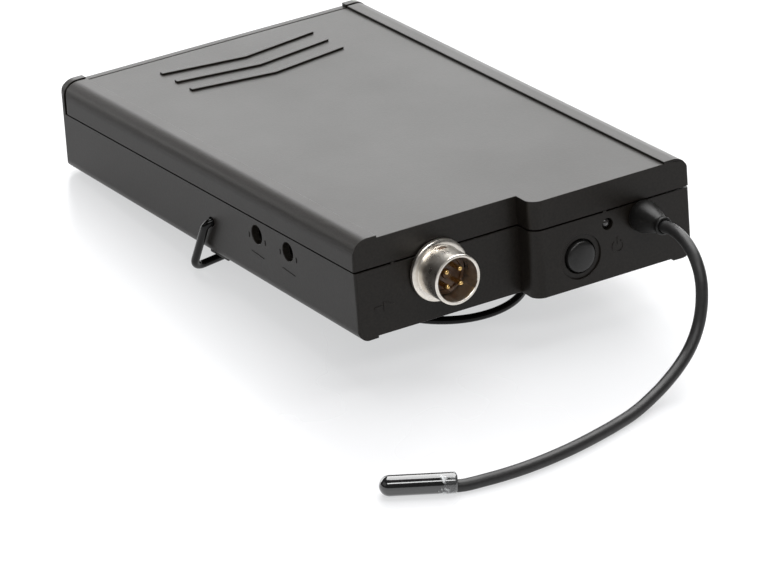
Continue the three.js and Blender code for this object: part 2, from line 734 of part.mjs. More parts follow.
// Slotted wheel that a small screwdriver turns through the side hole.
function trimmerRotor(y) {
  const wheel = bar(rotorRadius, rotorThickness, 'x', rotorX, y, trimmerZ, 20);
  const slotHalfWidth = 0.25;
  const slot = box(rotorX - past, rotorX + rotorThickness / 2, y - slotHalfWidth, y + slotHalfWidth,
    trimmerZ - rotorRadius - past, trimmerZ + rotorRadius + past);
  return toGeometry(cut(toSolid(wheel), slot));
}

// ---- batteries ---------------------------------------------------------------------------------
const cradleHalf = cellPitch / 2 + cellRadius + seatGap + cradleWall;
const cradleTop = cellZ + 1;

function batteryCradle() {
  const bottom = cellBottomZ + 0.1;
  const frame = toSolid(box(-cradleHalf, cradleHalf, cradleNearY, cradleFarY, bottom, cradleTop));
  const inside = box(-cradleHalf + cradleWall, cradleHalf - cradleWall, cradleNearY + cradleWall,
    cradleFarY - cradleWall, bottom - past, cradleTop + past);
  return toGeometry(cut(frame, inside));
}

// A round cell along y, its raised terminal towards the socket end or the far end.
function battery(x, terminalFirst) {
  const nub = 1.4;
  const nubRadius = 2.6;
  const edge = 0.45;
  const profile = [[0, 0], [nubRadius, 0], [nubRadius, nub], [cellRadius - edge, nub],
    [cellRadius, nub + edge], [cellRadius, cellLength - edge], [cellRadius - edge, cellLength],
    [0, cellLength]];
  const cell = turned(profile, 0, 0, 28);
  if (!terminalFirst) cell.rotateX(Math.PI).translate(0, cellLength, 0);
  return cell.translate(x, cellStartY, cellZ);
}

const cellX = [-cellPitch / 2, cellPitch / 2];

function contactPlate(x0, x1, y) {
  return box(x0, x1, y, y + contactThickness, cellBottomZ + 1.3, cradleTop + 1.5);
}

function batterySpring(x, fromY, toY) {
  const turns = 3;
  const perTurn = 12;
  const stations = Array.from({ length: turns * perTurn + 1 }, (_, i) => {
    const t = i / (turns * perTurn);
    const angle = turns * 2 * Math.PI * t;
    const radius = springRadius + (springEndRadius - springRadius) * t;
    return at(x + radius * Math.cos(angle), fromY + (toY - fromY) * t, cellZ + radius * Math.sin(angle));
  });
  return tube(stations, springWire / 2, 6);
}

// Insulated lead from the board up over the frame's near end; side is -1 or 1.
function lead(side) {
  const places = [[19.5, 34, standZ + leadRadius + 0.15], [19.5, 35.5, 7], [19, 38, 9], [18.6, 40, 8]];
  const corners = places.map(([x, y, z]) => at(side * x, y, z));
  const curve = new THREE.CatmullRomCurve3(corners, false, 'centripetal');
  return tube(curve.getSpacedPoints(14), leadRadius);
}

// ---- assembly ----------------------------------------------------------------------------------
function piece(name, geometry, look) {
  const material = new THREE.MeshStandardMaterial({
    color: look.color, roughness: look.roughness, metalness: look.metalness,
  });
  const mesh = new THREE.Mesh(geometry, material);
  mesh.name = name;
  return mesh;
}

const pack = new THREE.Group();
pack.add(piece('rear_shell', rearShell(), casePlastic));
pack.add(piece('front_cover', frontCover(), casePlastic));

pack.add(piece('connector_shell', connectorShell(), nickel));
pack.add(piece('connector_insert', connectorInsert(), brownPlastic));
pinPlaces.forEach((place, i) => pack.add(piece(`connector_pin_${i + 1}`, connectorPin(place), gold)));
pack.add(piece('connector_nut', connectorNut(), nickel));

pack.add(piece('power_button', powerButton(), casePlastic));
const plunger = bar(plungerRadius, plungerLength, 'y', buttonX, plungerY, buttonZ);
pack.add(piece('tact_plunger', plunger, chipBlack));
pack.add(piece('tact_switch', tactSwitch(), chipBlack));
pack.add(piece('status_led', statusLed(), lensClear));

pack.add(piece('antenna_boot', antennaBoot(), rubber));
pack.add(piece('antenna_base', antennaBase(), brass));

pack.add(piece('main_board', mainBoard(), laminate));
boardBosses.forEach((place, i) => pack.add(piece(`board_screw_${i + 1}`, boardScrew(place), steel)));
pack.add(piece('shield_can', shieldCan(8, 24, 12, 30, 4.5), canSilver));
pack.add(piece('audio_chip', standing(-8, -2, 12, 22, 1.6), chipBlack));
pack.add(piece('crystal', standing(0.8, 4.8, 19.5, 28.5, 3.4), canSilver));
pack.add(piece('tuning_coil_1', tuningCoil(2.8, 8), canSilver));
pack.add(piece('tuning_coil_2', tuningCoil(2.8, 15), canSilver));
[[-12, 26], [-17.5, 26], [-12, 32.5]].forEach(([x, y], i) => {
  pack.add(piece(`capacitor_${i + 1}`, capacitor(x, y, 2.2, 5.5), cellJacket));
});
['gain', 'level'].forEach((use, i) => {
  pack.add(piece(`${use}_trimmer`, trimmerBody(trimmerY[i]), whitePlastic));
  pack.add(piece(`${use}_rotor`, trimmerRotor(trimmerY[i]), whitePlastic));
});

pack.add(piece('battery_cradle', batteryCradle(), casePlastic));
pack.add(piece('battery_1', battery(cellX[0], true), cellJacket));
pack.add(piece('battery_2', battery(cellX[1], false), cellJacket));
const plateHalf = 6;
const plusY = cellStartY - contactThickness - bite;
const plates = {
  contact_plus: contactPlate(cellX[0] - plateHalf, cellX[0] + plateHalf, plusY),
  contact_minus: contactPlate(cellX[1] - plateHalf, cellX[1] + plateHalf, contactNearY - contactThickness),
  contact_link: contactPlate(cellX[0] - plateHalf, cellX[1] + plateHalf, contactFarY),
};
for (const [name, plate] of Object.entries(plates)) pack.add(piece(name, plate, steel));
const springEnd = springWire / 2 + 0.2;
pack.add(piece('battery_spring_1',
  batterySpring(cellX[1], contactNearY + springEnd, cellStartY - springEnd), steel));
pack.add(piece('battery_spring_2',
  batterySpring(cellX[0], contactFarY - springEnd, cellEndY + springEnd), steel));
pack.add(piece('battery_lead_plus', lead(-1), redWire));
pack.add(piece('battery_lead_minus', lead(1), blackWire));

const clip = new THREE.Group();
clip.add(piece('wire_clip', wireClip(), glossBlack));
clip.position.set(0, clipY, clipZ);
clip.rotation.x = tilt;
pack.add(clip);

// Tip the case on to its feet and clip, then put the origin under the middle of its box.
pack.rotation.x = -tilt;
pack.updateMatrixWorld(true);
const stood = new THREE.Box3().setFromObject(pack, true);
const middle = stood.getCenter(at(0, 0, 0));
pack.position.set(-middle.x, -middle.y, -stood.min.z);

const transmitter = new THREE.Group();
transmitter.add(pack);
pack.updateMatrixWorld(true);
const bootTip = pack.localToWorld(at(antennaX, bootTipY, antennaZ));
const stations = whipStations(bootTip);
transmitter.add(piece('antenna_whip', antennaWhip(stations), rubber));
transmitter.add(piece('antenna_tip', antennaTip(bootTip, stations[stations.length - 1]), glossBlack));

export default transmitter;
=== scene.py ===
"""Body-worn wireless guitar transmitter: the finished look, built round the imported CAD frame."""
import math
import random

import bmesh
import bpy
from mathutils import Matrix, Vector
from mathutils.noise import noise


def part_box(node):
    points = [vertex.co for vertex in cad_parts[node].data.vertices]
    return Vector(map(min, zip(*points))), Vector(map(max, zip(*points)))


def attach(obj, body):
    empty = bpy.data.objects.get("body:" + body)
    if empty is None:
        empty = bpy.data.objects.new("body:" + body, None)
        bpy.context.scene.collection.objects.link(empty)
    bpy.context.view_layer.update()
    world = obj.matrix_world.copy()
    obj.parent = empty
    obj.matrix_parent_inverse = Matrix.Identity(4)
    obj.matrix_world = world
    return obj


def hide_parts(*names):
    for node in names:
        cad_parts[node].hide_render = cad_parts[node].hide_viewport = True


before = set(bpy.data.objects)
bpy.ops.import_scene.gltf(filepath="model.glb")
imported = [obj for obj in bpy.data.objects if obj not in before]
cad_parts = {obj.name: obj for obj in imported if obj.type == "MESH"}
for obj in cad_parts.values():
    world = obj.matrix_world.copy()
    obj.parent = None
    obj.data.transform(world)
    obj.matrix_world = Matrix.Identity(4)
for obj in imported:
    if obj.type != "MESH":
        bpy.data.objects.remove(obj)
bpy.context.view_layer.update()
MM = 0.001

# ---- Camera -------------------------------------------------------------------------------------
# A long lens from the front left, a little above, with the socket end nearest. It is rolled
# slightly, so that the case lies across the picture.
camera = bpy.data.objects.new("camera", bpy.data.cameras.new("camera"))
camera.data.lens = 303.79
camera.data.sensor_width = 36
camera.data.clip_start, camera.data.clip_end = 0.05, 20
camera.location = (-0.544741, -0.883593, 0.528252)
camera.rotation_euler = [math.radians(turn) for turn in (62.622, 0.848, -32.133)]
bpy.context.scene.collection.objects.link(camera)
bpy.context.scene.camera = camera
bpy.context.scene.view_settings.view_transform = "Standard"


# ---- Antenna whip -------------------------------------------------------------------------------
# A moulded black rubber rod round a thin wire. It leaves the boot, droops over in one curve and
# lies along the table to its end cap. It is stiff enough to hold that bend.
def new_material(name, **sockets):
    """A node material, and its Principled shader with the given plain values."""
    material = bpy.data.materials.new(name)
    material.use_nodes = True
    shader = material.node_tree.nodes["Principled BSDF"]
    for label, value in sockets.items():
        shader.inputs[label.replace("_", " ")].default_value = value
    return material, shader


def wire(tree, start, end):
    """Joins an output to an input; each is (node, socket label or index)."""
    tree.links.new(start[0].outputs[start[1]], end[0].inputs[end[1]])


def effect(name, inputs, outputs):
    """An empty shader node group with named sockets, and its two end nodes."""
    tree = bpy.data.node_groups.new(name, "ShaderNodeTree")
    for label, value in inputs.items():
        socket = tree.interface.new_socket(label, in_out="INPUT", socket_type="NodeSocketFloat")
        socket.default_value = value
    for label in outputs:
        tree.interface.new_socket(label, in_out="OUTPUT", socket_type="NodeSocketFloat")
    return tree, tree.nodes.new("NodeGroupInput"), tree.nodes.new("NodeGroupOutput")


def add_node(tree, kind, **settings):
    """A node with its attributes set, or with plain input values where the name is a socket's."""
    node = tree.nodes.new(kind)
    for label, value in settings.items():
        if hasattr(node, label):
            setattr(node, label, value)
        else:
            node.inputs[label.replace("_", " ")].default_value = value
    return node


def make_surface_grain():
    """Fine pits of the mould surface and broad smudges. Grain and Smudge are in metres."""
    tree, entry, leave = effect(
        "surface grain", {"Grain": 0.0004, "Smudge": 0.02}, ("Height", "Cloud"))
    place = tree.nodes.new("ShaderNodeTexCoord")
    for label, kind, detail in (("Grain", "Height", 3.0), ("Smudge", "Cloud", 4.0)):
        scale = add_node(tree, "ShaderNodeMath", operation="DIVIDE")
        scale.inputs[0].default_value = 1.0
        wire(tree, (entry, label), (scale, 1))
        speckle = add_node(tree, "ShaderNodeTexNoise", Detail=detail, Roughness=0.6)
        wire(tree, (place, "Object"), (speckle, "Vector"))
        wire(tree, (scale, 0), (speckle, "Scale"))
        wire(tree, (speckle, 0), (leave, kind))
    return tree


surface_grain = make_surface_grain()


def grained(material, shader, grain, smudge, depth, rough, tones=None, strength=0.6):
    """Moulded or rubbed finish: pits in the normal, smudges in the roughness and the colour."""
    tree = material.node_tree
    group = add_node(tree, "ShaderNodeGroup", node_tree=surface_grain)
    group.inputs["Grain"].default_value = grain
    group.inputs["Smudge"].default_value = smudge
    pits = add_node(tree, "ShaderNodeBump", Strength=strength, Distance=depth)
    wire(tree, (group, "Height"), (pits, "Height"))
    wire(tree, (pits, "Normal"), (shader, "Normal"))
    spread = tree.nodes.new("ShaderNodeMapRange")
    spread.inputs["From Min"].default_value, spread.inputs["From Max"].default_value = 0.3, 0.7
    spread.inputs["To Min"].default_value, spread.inputs["To Max"].default_value = rough
    wire(tree, (group, "Cloud"), (spread, "Value"))
    wire(tree, (spread, "Result"), (shader, "Roughness"))
    if tones:
        ramp = tree.nodes.new("ShaderNodeValToRGB")
        for stop, tone, place in zip(ramp.color_ramp.elements, tones, (0.35, 0.65)):
            stop.color, stop.position = (*tone, 1), place
        wire(tree, (group, "Height"), (ramp, "Fac"))
        wire(tree, (ramp, "Color"), (shader, "Base Color"))
    return group


def link_piece(name, data, body, material=None):
    """A finished mesh or curve as an object that rides on a body."""
    piece = bpy.data.objects.new(name, data)
    bpy.context.scene.collection.objects.link(piece)
    if material:
        data.materials.clear()
        data.materials.append(material)
    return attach(piece, body)


rubber, rubber_shader = new_material("satin black rubber", IOR=1.5, Specular_IOR_Level=0.5)
grained(rubber, rubber_shader, 0.0007, 0.006, 0.00003, (0.4, 0.52),
        ((0.010, 0.010, 0.010), (0.016, 0.015, 0.015)))

whip_route = [
    (22.8, -57.575, 20.533), (22.45, -60.505, 21.231), (22.1, -63.525, 21.27),
    (21.75, -66.455, 20.591), (21.42, -69.015, 19.001), (21.03, -70.905, 16.674),
    (20.44, -72.135, 13.958), (19.56, -73.025, 11.185), (18.18, -73.875, 8.625),
    (16.22, -74.845, 6.511), (13.85, -75.875, 4.921), (9.61, -77.595, 3.136),
    (5.15, -79.305, 1.973), (0.58, -80.955, 1.255), (-4.08, -82.495, 1.1), (-8.8, -83.865, 1.1),
    (-13.57, -85.025, 1.1), (-18.4, -85.905, 1.1), (-23.28, -86.485, 1.1),
    (-28.19, -86.675, 1.1), (-33.1, -86.435, 1.1), (-37.94, -85.705, 1.1)]
WHIP_DIAMETER = 2.2 * MM

whip_curve = bpy.data.curves.new("antenna_whip_rubber", "CURVE")
whip_curve.dimensions = "3D"
whip_curve.bevel_depth = WHIP_DIAMETER / 2
whip_curve.bevel_resolution = 8
whip_curve.resolution_u = 8
whip_curve.use_fill_caps = True
boot_end = Vector(whip_route[0]) - Vector((0, -0.995, 0.099)) * 1.2
tip_end = Vector((-38.75, -85.46, 1.25))
stations = [boot_end, *whip_route, tip_end]
spline = whip_curve.splines.new("BEZIER")
spline.bezier_points.add(len(stations) - 1)
for point, station in zip(spline.bezier_points, stations):
    point.co = Vector(station) * MM
    point.handle_left_type = point.handle_right_type = "AUTO"
whip = link_piece("antenna_whip_rubber", whip_curve, "case", rubber)
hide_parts("antenna_whip")

# ---- Antenna end cap ----------------------------------------------------------------------------
# A glossy black moulded cap pushed over the end of the whip, with a round nose. A scrap of the
# clear film that it was shipped in is still stuck round its open end.
TIP_RADIUS, TIP_LENGTH, SEAT_GAP = 1.8, 13.2, 0.3


def turned_mesh(name, profile, steps, place, swell=None, smooth_angle=35):
    """Turned about +Y from (radius, distance) pairs in mm. swell(i, angle) widens a ring.
    A radius of 0 is a pole. place puts it in the part's frame, in metres."""
    verts, rings = [], []
    for i, (radius, along) in enumerate(profile):
        if radius == 0:
            rings.append([len(verts)])
            verts.append(Vector((0, along, 0)))
            continue
        rings.append(range(len(verts), len(verts) + steps))
        for k in range(steps):
            angle = 2 * math.pi * k / steps
            out = radius + (swell(i, angle) if swell else 0)
            verts.append(Vector((out * math.cos(angle), along, out * math.sin(angle))))
    faces = []
    for a, b in zip(rings, rings[1:]):
        for k in range(steps):
            n = (k + 1) % steps
            if len(a) == 1:
                faces.append((a[0], b[n], b[k]))
            elif len(b) == 1:
                faces.append((a[k], a[n], b[0]))
            else:
                faces.append((a[k], a[n], b[n], b[k]))
    return finished_mesh(name, verts, faces, place, smooth_angle)


def finished_mesh(name, verts, faces, place, smooth_angle=35):
    """A mesh with its place in its vertices, faces outwards and edges sharp past an angle."""
    mesh = bpy.data.meshes.new(name)
    mesh.from_pydata([place @ v for v in verts], [], faces)
    form = bmesh.new()
    form.from_mesh(mesh)
    bmesh.ops.remove_doubles(form, verts=form.verts, dist=1e-7)
    bmesh.ops.recalc_face_normals(form, faces=form.faces)
    form.to_mesh(mesh)
    form.free()
    mesh.shade_smooth()
    mesh.set_sharp_from_angle(angle=math.radians(smooth_angle))
    return mesh


def arc(centre_radius, centre_along, radius, start, end, steps):
    """Profile points on an arc, angles in degrees from straight out (0) to along the axis (90)."""
    turns = [math.radians(start + (end - start) * i / steps) for i in range(steps + 1)]
    return [(max(centre_radius + radius * math.cos(t), 0) if abs(math.cos(t)) > 1e-9
             or centre_radius else 0, centre_along + radius * math.sin(t)) for t in turns]


whip_end = Vector(whip_route[-1])
whip_end.z = TIP_RADIUS
tip_along = (Vector((-49.625, -79.625, TIP_RADIUS)) - whip_end).normalized()
tip_place = (Matrix.Scale(MM, 4) @ Matrix.Translation(whip_end + tip_along * SEAT_GAP)
             @ Vector((0, 1, 0)).rotation_difference(tip_along).to_matrix().to_4x4())

gloss, gloss_shader = new_material("glossy black cap", Coat_Weight=1.0, Coat_Roughness=0.03,
                                   Coat_IOR=1.7)
grained(gloss, gloss_shader, 0.0015, 0.004, 0.000004, (0.1, 0.17),
        ((0.006, 0.006, 0.006), (0.009, 0.009, 0.009)), strength=0.3)

tip_profile = ([(0, 0.5), (1.12, 0.5), (1.12, 0.1), (1.2, 0)]
               + arc(TIP_RADIUS - 0.6, 0.6, 0.6, -90, 0, 6)
               + arc(0, TIP_LENGTH - TIP_RADIUS, TIP_RADIUS, 0, 90, 14))
tip = link_piece("antenna_end_cap", turned_mesh("antenna_end_cap", tip_profile, 56, tip_place),
                 "case", gloss)
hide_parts("antenna_tip")

film_random = random.Random(7)
film_steps, film_rows = 72, 9
film_end = [2.5 + 0.5 * math.sin(k * 0.35) + 0.35 * film_random.random()
            for k in range(film_steps)]
verts, faces = [], []
for row in range(film_rows):
    for k in range(film_steps):
        angle = 2 * math.pi * k / film_steps
        along = 0.25 + film_end[k] * row / (film_rows - 1)
        crease = noise(Vector((math.cos(angle) * 3, along * 1.6, math.sin(angle) * 3)))
        radius = TIP_RADIUS + 0.09 + 0.06 * crease
        verts.append(Vector((radius * math.cos(angle), along, radius * math.sin(angle))))
for row in range(film_rows - 1):
    for k in range(film_steps):
        n = (k + 1) % film_steps
        a, b = row * film_steps, (row + 1) * film_steps
        faces.append((a + k, b + k, b + n, a + n))
film_mesh = finished_mesh("shipping_film", verts, faces, tip_place, 60)
for corner in film_mesh.vertices:
    corner.co.z = max(corner.co.z, 0.00002)

clear_film, film_shader = new_material(
    "crinkled clear film", Base_Color=(0.9, 0.92, 0.93, 1), IOR=1.45)
grained(clear_film, film_shader, 0.0012, 0.003, 0.0002, (0.08, 0.25), strength=1.0)
film_tree = clear_film.node_tree
film_place = film_tree.nodes.new("ShaderNodeTexCoord")
creases = add_node(film_tree, "ShaderNodeTexNoise", Scale=700.0, Detail=4.0, Distortion=1.2)
crease_mask = film_tree.nodes.new("ShaderNodeMapRange")
for label, value in (("From Min", 0.52), ("From Max", 0.66), ("To Min", 0.05), ("To Max", 0.7)):
    crease_mask.inputs[label].default_value = value
wire(film_tree, (film_place, "Object"), (creases, "Vector"))
wire(film_tree, (creases, 0), (crease_mask, "Value"))
wire(film_tree, (crease_mask, 0), (film_shader, "Alpha"))
film = link_piece("shipping_film", film_mesh, "case", clear_film)

# ---- Antenna boot -------------------------------------------------------------------------------
# A soft rubber cone moulded over the antenna's foot on the near face, which takes the bend off the
# whip. It ends in a small collar that the whip comes out of.
CASE_TIP = math.radians(5.708583)
case_place = (Matrix.Scale(MM, 4) @ Matrix.Translation((0, -46.408208, 9.061663))
              @ Matrix.Rotation(-CASE_TIP, 4, "X"))
POWER_FACE = -4.8
ANTENNA = (22.8, 10.3)


def on_axis(x, z):
    """The case's own axes, with a turned piece's axis along y at (x, z), in mm."""
    return case_place @ Matrix.Translation((x, 0, z))


boot_rubber, boot_shader = new_material("smooth black rubber", IOR=1.5, Specular_IOR_Level=0.32)
grained(boot_rubber, boot_shader, 0.0005, 0.005, 0.00002, (0.36, 0.5),
        ((0.0035, 0.0033, 0.0030), (0.0065, 0.0062, 0.0058)))
boot_profile = [
    (0, -5.1), (2.8, -5.1), (2.88, -5.18), (2.92, -5.35), (2.92, -6.1), (2.86, -6.5), (2.7, -7.1),
    (2.42, -8.0), (2.1, -9.0), (1.8, -9.9), (1.6, -10.5), (1.52, -10.8), (1.5, -10.95),
    (1.56, -11.04), (1.63, -11.12), (1.67, -11.25), (1.67, -11.6), (1.62, -11.78), (1.5, -11.88),
    (1.35, -11.9), (1.22, -11.86), (1.13, -11.72), (1.12, -11.4), (0, -11.4)]
boot = link_piece("antenna_boot_rubber",
                  turned_mesh("antenna_boot_rubber", boot_profile, 64, on_axis(*ANTENNA),
                              smooth_angle=60), "case", boot_rubber)
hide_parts("antenna_boot")

# ---- Rear shell ---------------------------------------------------------------------------------
# The lower half of the case: a black moulded tray with a stepped near end, holes for the socket,
# button, light and trimmers, and skids along its back. Its outer edges are broken in the mould.
case_plastic, case_shader = new_material("satin black moulding", IOR=1.5,
                                         Specular_IOR_Level=0.27)
grained(case_plastic, case_shader, 0.00042, 0.03, 0.000018, (0.35, 0.40),
        ((0.0068, 0.0053, 0.0039), (0.0118, 0.0095, 0.0074)))


def eased_piece(node, name, width, material, body):
    """The CAD node's shape as one clean skin, its outer edges rounded where the faces have room.

    Each corner's normal leans to the largest of the faces round it that nearly face the same way.
    """
    form = bmesh.new()
    form.from_mesh(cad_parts[node].data)
    bmesh.ops.remove_doubles(form, verts=form.verts, dist=2e-6)
    bmesh.ops.dissolve_limit(form, angle_limit=math.radians(0.05), verts=form.verts,
                             edges=form.edges)
    room = {face: face.calc_area() / max(edge.calc_length() for edge in face.edges)
            for face in form.faces}
    outer = [edge for edge in form.edges
             if edge.is_manifold and edge.is_convex and edge.calc_face_angle() > math.radians(28)
             and min(room[face] for face in edge.link_faces) > 2.5 * width]
    bmesh.ops.bevel(form, geom=outer, offset=width, segments=3, profile=0.5, affect="EDGES",
                    clamp_overlap=False, miter_outer="ARC")
    normals = []
    for face in form.faces:
        for vert in face.verts:
            alike = [other for other in vert.link_faces
                     if other.normal.dot(face.normal) > math.cos(math.radians(40))]
            normals.append(sum((other.normal * other.calc_area() for other in alike),
                               Vector()).normalized())
    mesh = bpy.data.meshes.new(name)
    form.to_mesh(mesh)
    form.free()
    mesh.shade_smooth()
    mesh.normals_split_custom_set(normals)
    piece = link_piece(name, mesh, body, material)
    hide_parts(node)
    return piece


EDGE_WIDTH = 0.12 * MM
rear_shell = eased_piece("rear_shell", "rear_shell_moulding", EDGE_WIDTH, case_plastic, "case")

# ---- Front cover --------------------------------------------------------------------------------
# The upper half lifts off for the cells: a shallow lid with a rounded rail down each side, a flat
# a little lower between them, and three thumb ridges near its far end.
front_cover = eased_piece("front_cover", "front_cover_moulding", EDGE_WIDTH, case_plastic, "cover")

# ---- Moulded marks ------------------------------------------------------------------------------
# Low raised marks in the mould: a ring and bar by the power button, a wedge under each trimmer,
# an arrow by the socket, and the two small nubs that set the parting gap.
MARK_HEIGHT = 0.09


def outline_ring(u, v, radius, width, start, end, steps=28):
    """A band along an arc, as one outline in (u, v)."""
    turns = [math.radians(start + (end - start) * i / steps) for i in range(steps + 1)]
    outer = [(u + radius * math.cos(t), v + radius * math.sin(t)) for t in turns]
    inner = [(u + (radius - width) * math.cos(t), v + (radius - width) * math.sin(t))
             for t in reversed(turns)]
    return outer + inner


def raised_marks(name, outlines, to_case, height):
    """Closed prisms that stand a little off a face; to_case turns (u, v, rise) into case mm."""
    verts, faces = [], []
    for outline in outlines:
        base, count = len(verts), len(outline)
        for rise in (-0.05, height):
            verts += [Vector(to_case(u, v, rise)) for u, v in outline]
        faces.append(tuple(range(base, base + count)))
        faces.append(tuple(range(base + count, base + 2 * count)))
        for k in range(count):
            n = (k + 1) % count
            faces.append((base + k, base + n, base + count + n, base + count + k))
    return finished_mesh(name, verts, faces, case_place, 20)


def rectangle(u, v, wide, high):
    return [(u - wide / 2, v - high / 2), (u + wide / 2, v - high / 2),
            (u + wide / 2, v + high / 2), (u - wide / 2, v + high / 2)]


power_mark = [outline_ring(17.6, 5.9, 1.25, 0.28, 125, 415), rectangle(17.6, 6.9, 0.28, 1.3)]
socket_mark = [[(-27.6, 4.6), (-25.4, 5.5), (-27.6, 6.4)], rectangle(-28.6, 5.5, 1.6, 0.5)]
trimmer_mark = [shape for centre in (22.5, 33) for shape in (
    [(centre - 2.1, 6.1), (centre + 2.1, 5.7), (centre + 2.1, 6.5)],
    rectangle(centre - 2.7, 9.3, 0.25, 0.9), rectangle(centre + 2.7, 9.3, 0.25, 0.9))]
parting_nubs = [rectangle(15.2, 12.98, 0.7, 0.34)]
for name, outlines, to_case in (
        ("power_mark", power_mark + parting_nubs, lambda u, v, h: (u, POWER_FACE - h, v)),
        ("socket_mark", socket_mark + [rectangle(-25.3, 12.98, 0.7, 0.34)],
         lambda u, v, h: (u, -h, v)),
        ("trimmer_mark", trimmer_mark, lambda u, v, h: (-32.9 - h, u, v))):
    mark = link_piece(name, raised_marks(name, outlines, to_case, MARK_HEIGHT), "case",
                      case_plastic)

# ---- Instrument socket --------------------------------------------------------------------------
# A four-pin locking socket: a turned, nickel plated barrel with key slots inside its rim, its
# flange seated on the near face. A dark insulator inside holds four gilt pins.
SOCKET = (-16.5, 9.5)
key_angles = [math.radians(a) for a in (63, 334, 172)]
BARREL_RADIUS = 4.55

barrel_profile = [
    (3.98, -6.72), (4.06, -6.8), (4.36, -6.8), (4.48, -6.75), (BARREL_RADIUS, -6.64),
    (BARREL_RADIUS, -3.0), (BARREL_RADIUS, -1.65), (4.56, -1.42), (4.66, -1.32), (5.02, -1.3),
    (5.42, -1.22), (5.62, -1.05), (5.65, -0.9), (5.65, -0.42), (5.56, -0.3), (3.3, -0.3),
    (3.3, 7.0), (2.85, 7.0), (2.85, -1.8), (3.95, -1.8), (3.95, -6.6), (3.98, -6.72)]


def keyed(i, angle):
    """Key slots cut into the bore."""
    in_bore = any(math.cos(angle - key) > math.cos(math.radians(8)) for key in key_angles)
    if i in (0, len(barrel_profile) - 2, len(barrel_profile) - 1) and in_bore:
        return 0.34
    return 0


nickel, nickel_shader = new_material("satin nickel plate", Metallic=1.0)
grained(nickel, nickel_shader, 0.0006, 0.004, 0.000004, (0.24, 0.36),
        ((0.76, 0.71, 0.64), (0.84, 0.80, 0.74)), strength=0.03)
barrel = link_piece("socket_barrel", turned_mesh("socket_barrel", barrel_profile, 112,
                                                 on_axis(*SOCKET), keyed, 30),
                    "case", nickel)
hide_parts("connector_shell")

insulator, insulator_shader = new_material("dark brown insulator", IOR=1.5)
grained(insulator, insulator_shader, 0.0005, 0.003, 0.00003, (0.25, 0.4),
        ((0.055, 0.024, 0.010), (0.10, 0.048, 0.020)))
insert_profile = [
    (0, -3.3), (0.75, -3.3), (0.85, -3.2), (0.9, -2.85), (2.9, -2.8), (3.0, -3.1), (3.3, -3.1),
    (3.4, -3.0), (3.45, -2.8), (3.8, -2.8), (3.8, -2.1), (2.7, -2.1), (2.7, 6.5), (0, 6.5)]
insert = link_piece("socket_insulator", turned_mesh("socket_insulator", insert_profile, 64,
                                                    on_axis(*SOCKET), smooth_angle=40),
                    "case", insulator)
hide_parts("connector_insert")
slot_cells = [rectangle(0.05 * i - 0.15, -2.3, 0.05, 0.75) for i in range(7)]
window_piece = link_piece("socket_window", raised_marks(
    "socket_window", slot_cells,
    lambda turn, v, h: (SOCKET[0] + (BARREL_RADIUS + h) * math.sin(turn), v,
                        SOCKET[1] + (BARREL_RADIUS + h) * math.cos(turn)), 0.03), "case",
                         insulator)


def geometry_tree(name, inputs):
    """An empty Geometry Nodes tree with a Geometry socket each way and the inputs by name."""
    tree = bpy.data.node_groups.new(name, "GeometryNodeTree")
    tree.interface.new_socket("Geometry", in_out="INPUT", socket_type="NodeSocketGeometry")
    tree.interface.new_socket("Geometry", in_out="OUTPUT", socket_type="NodeSocketGeometry")
    for label, kind in inputs.items():
        tree.interface.new_socket(label, in_out="INPUT", socket_type="NodeSocket" + kind)
    return tree, tree.nodes.new("NodeGroupInput"), tree.nodes.new("NodeGroupOutput")


def close_tree(tree, entry, leave, last):
    """Ends the tree in Realize Instances and Set Material."""
    real = tree.nodes.new("GeometryNodeRealizeInstances")
    paint = tree.nodes.new("GeometryNodeSetMaterial")
    wire(tree, last, (real, "Geometry"))
    wire(tree, (real, "Geometry"), (paint, "Geometry"))
    wire(tree, (entry, "Material"), (paint, "Material"))
    wire(tree, (paint, "Geometry"), (leave, "Geometry"))
    return tree


def grown_piece(name, base, tree, values, body, smooth_angle=40):
    """Runs a Geometry Nodes tree on a base mesh and keeps the result as a plain mesh."""
    piece = bpy.data.objects.new(name, base)
    bpy.context.scene.collection.objects.link(piece)
    growth = piece.modifiers.new("growth", "NODES")
    growth.node_group = tree
    for socket in tree.interface.items_tree:
        if socket.in_out == "INPUT" and socket.name in values:
            growth[socket.identifier] = values[socket.name]
    graph = bpy.context.evaluated_depsgraph_get()
    mesh = bpy.data.meshes.new_from_object(piece.evaluated_get(graph))
    piece.modifiers.clear()
    piece.data = mesh
    mesh.name = name
    form = bmesh.new()
    form.from_mesh(mesh)
    bmesh.ops.recalc_face_normals(form, faces=form.faces)
    form.to_mesh(mesh)
    form.free()
    mesh.materials.clear()
    mesh.materials.append(values["Material"])
    mesh.polygons.foreach_set("material_index", [0] * len(mesh.polygons))
    mesh.shade_smooth()
    mesh.set_sharp_from_angle(angle=math.radians(smooth_angle))
    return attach(piece, body)


def place_mesh(name, spots, edges=()):
    """Bare points in the part's frame from case mm, joined by edges where they are a path."""
    mesh = bpy.data.meshes.new(name)
    mesh.from_pydata([case_place @ Vector(spot) for spot in spots], edges, [])
    return mesh


